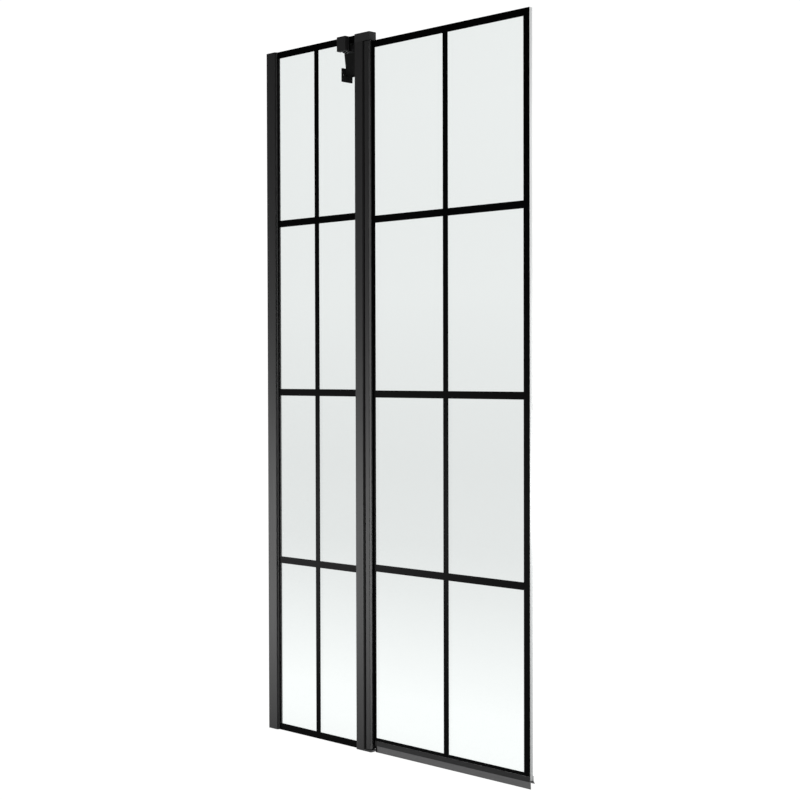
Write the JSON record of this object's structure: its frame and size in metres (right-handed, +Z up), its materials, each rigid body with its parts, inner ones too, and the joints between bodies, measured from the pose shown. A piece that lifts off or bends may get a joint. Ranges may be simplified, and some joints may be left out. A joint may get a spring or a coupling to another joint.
{
  "type": "bath screen",
  "caption": "Framed glass bath screen with a black grid: a fixed panel in a wall channel, a pivoting glass door with drip seal, and a diagonal stay to the wall.",
  "frame": {"origin": "on the wall, at the bottom of the wall channel, in the middle of the glass thickness", "axes": "+X from the wall along the screen to the door's free edge, +Y towards the bath, +Z up"},
  "size_m": [0.7506, 0.2707, 1.5],
  "materials": {
    "black_profile": "satin black anodised",
    "black_casting": "satin black coated",
    "black_steel": "satin black paint",
    "clear_glass": "clear toughened, polished edges",
    "black_print": "fired black ceramic print",
    "black_rubber": "matt extruded rubber",
    "seal_vinyl": "soft grey-black vinyl",
    "nylon": "moulded nylon",
    "steel": "stainless steel"
  },
  "bodies": {
    "frame": {"wall_channel": "black_profile", "panel_profile": "black_profile", "fixed_post": "black_profile", "top_pivot_cap": "black_casting", "bottom_pivot_block": "black_casting", "stay_front_block": "black_casting", "stay_rear_block": "black_casting", "stay_bar": "black_steel", "stay_wall_plate": "black_steel", "fixed_glass": "clear_glass", "fixed_grid": "black_print", "fixed_wall_gasket": "black_rubber", "fixed_post_gasket": "black_rubber", "hinge_wiper": "black_rubber", "stay_front_pad": "black_rubber", "stay_rear_pad": "black_rubber", "stay_glass_sleeve": "nylon", "adjust_screws": "steel", "top_cap_screws": "steel", "bottom_block_screws": "steel", "top_pivot_pin": "steel", "bottom_pivot_pin": "steel", "stay_clamp_screw": "steel", "stay_pivot_screws": "steel"},
    "door": {"door_stile": "black_profile", "door_glass": "clear_glass", "door_grid": "black_print", "door_gasket": "black_rubber", "drip_seal": "seal_vinyl", "top_pivot_bush": "nylon", "bottom_pivot_bush": "nylon"}
  },
  "joints": [
    {"name": "door_swing", "type": "hinge", "parent": "frame", "child": "door", "pos_m": [0.31775, -0.002, 0.75], "axis": [0, 0, 1], "range_deg": [-90, 90]}
  ]
}
